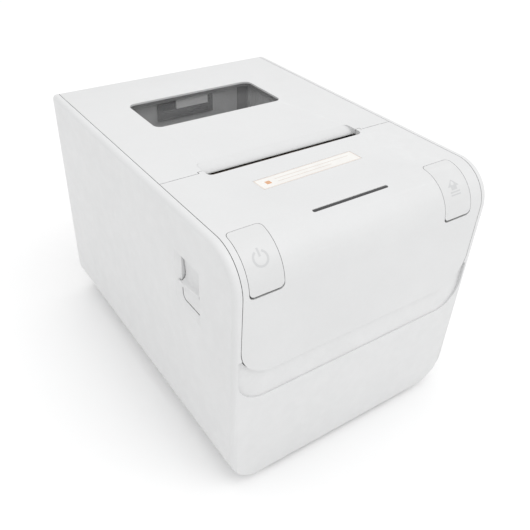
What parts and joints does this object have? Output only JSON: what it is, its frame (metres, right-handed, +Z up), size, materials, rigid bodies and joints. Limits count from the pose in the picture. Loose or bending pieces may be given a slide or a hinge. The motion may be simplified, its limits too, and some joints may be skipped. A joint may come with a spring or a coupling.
{
  "type": "receipt printer",
  "caption": "white desktop thermal receipt printer with a drop-in paper bay, a windowed hinged lid, a rolled front cover, two corner keys and a side release lever",
  "frame": {"origin": "the middle of the footprint on the table plane", "axes": "+X to the right as seen by someone facing the front, +Y toward the rear, +Z up; the front faces -Y"},
  "size_m": [0.14, 0.1888, 0.1354],
  "materials": {
    "shell_white": "fine-grained white moulded ABS",
    "key_white": "smooth satin white ABS",
    "clear_window": "clear smoke-tinted polycarbonate",
    "light_pipe": "dark translucent light pipe, unlit",
    "bay_grey": "grey moulded plastic",
    "dark_plastic": "black moulded plastic",
    "film_strip": "printed film with a thin border",
    "soft_rubber": "moulded rubber",
    "plated_steel": "nickel-plated turned steel",
    "sheet_steel": "zinc-plated sheet steel",
    "blade_steel": "ground blade steel",
    "bearing_brass": "turned brass",
    "gear_plastic": "natural acetal",
    "head_ceramic": "glazed ceramic",
    "heatsink_aluminium": "extruded aluminium",
    "board_green": "green solder resist"
  },
  "bodies": {
    "body": {"main_housing": "shell_white", "front_cover": "shell_white", "status_light_bar": "light_pipe", "paper_bucket": "bay_grey", "bucket_panel": "dark_plastic", "front_label": "film_strip", "base_plate": "shell_white", "rubber_feet": "soft_rubber", "base_screws": "plated_steel", "chassis": "sheet_steel", "hinge_pin": "plated_steel", "print_head": "head_ceramic", "head_heatsink": "heatsink_aluminium", "head_springs": "plated_steel", "feed_motor": "sheet_steel", "gear_pin": "plated_steel", "cutter_frame": "sheet_steel", "cutter_motor": "sheet_steel", "tear_bar": "blade_steel", "button_board": "board_green", "main_board": "board_green", "power_socket": "dark_plastic", "usb_socket": "plated_steel", "ethernet_socket": "plated_steel", "drawer_socket": "dark_plastic", "connector_panel": "bay_grey", "paper_sensor": "dark_plastic"},
    "lid": {"top_cover": "shell_white", "lid_window": "clear_window", "lid_liner": "dark_plastic", "fixed_blade": "blade_steel", "platen_bearings": "bearing_brass"},
    "platen": {"platen_roller": "soft_rubber", "platen_shaft": "plated_steel", "platen_gear": "gear_plastic"},
    "idler": {"idler_gear": "gear_plastic"},
    "feed_pinion": {"motor_pinion": "bearing_brass"},
    "blade": {"moving_blade": "blade_steel"},
    "blade_pinion": {"cutter_pinion": "bearing_brass"},
    "power_key": {"power_button": "key_white"},
    "feed_key": {"feed_button": "key_white"},
    "lever": {"release_lever": "shell_white"},
    "latch": {"latch_bar": "plated_steel"}
  },
  "joints": [
    {"name": "lid_hinge", "type": "hinge", "parent": "body", "child": "lid", "pos_m": [0, 0.084, 0.122], "axis": [-1, 0, 0], "range_deg": [0, 75]},
    {"name": "platen_spin", "type": "hinge", "parent": "lid", "child": "platen", "pos_m": [0, -0.024, 0.1215], "axis": [1, 0, 0], "continuous": true},
    {"name": "idler_spin", "type": "hinge", "parent": "body", "child": "idler", "pos_m": [0.055, -0.033, 0.1061], "axis": [1, 0, 0], "continuous": true},
    {"name": "pinion_spin", "type": "hinge", "parent": "body", "child": "feed_pinion", "pos_m": [0.055, -0.033, 0.0917], "axis": [1, 0, 0], "continuous": true},
    {"name": "blade_slide", "type": "slide", "parent": "body", "child": "blade", "axis": [0, 1, 0], "range_m": [0, 0.012]},
    {"name": "blade_pinion_spin", "type": "hinge", "parent": "body", "child": "blade_pinion", "pos_m": [0.026, -0.048, 0.1289], "axis": [0, 0, -1], "range_deg": [0, 143.24]},
    {"name": "power_key_press", "type": "hinge", "parent": "body", "child": "power_key", "pos_m": [-0.05515, -0.0764, 0.1296], "axis": [1, 0, 0], "range_deg": [0, 2.5], "stiffness_Nm_per_rad": 0.5, "springref_deg": -5.73},
    {"name": "feed_key_press", "type": "hinge", "parent": "body", "child": "feed_key", "pos_m": [0.0504, -0.0764, 0.1296], "axis": [1, 0, 0], "range_deg": [0, 2.5], "stiffness_Nm_per_rad": 0.5, "springref_deg": -5.73},
    {"name": "lever_pull", "type": "hinge", "parent": "body", "child": "lever", "pos_m": [-0.0649, -0.0652, 0.1015], "axis": [0, 0, 1], "range_deg": [0, 14], "stiffness_Nm_per_rad": 0.3, "springref_deg": -5.73},
    {"name": "latch_turn", "type": "hinge", "parent": "body", "child": "latch", "pos_m": [0, -0.051, 0.099], "axis": [1, 0, 0], "range_deg": [0, 10], "stiffness_Nm_per_rad": 0.3, "springref_deg": -5.73}
  ],
  "couplings": [
    {"joint": "idler_spin", "follows": "platen_spin", "ratio": -0.83333},
    {"joint": "pinion_spin", "follows": "platen_spin", "ratio": 1.6667},
    {"joint": "blade_pinion_spin", "follows": "blade_slide", "rad_per_m": 208.33},
    {"joint": "lever_pull", "follows": "latch_turn", "ratio": 1.4}
  ]
}
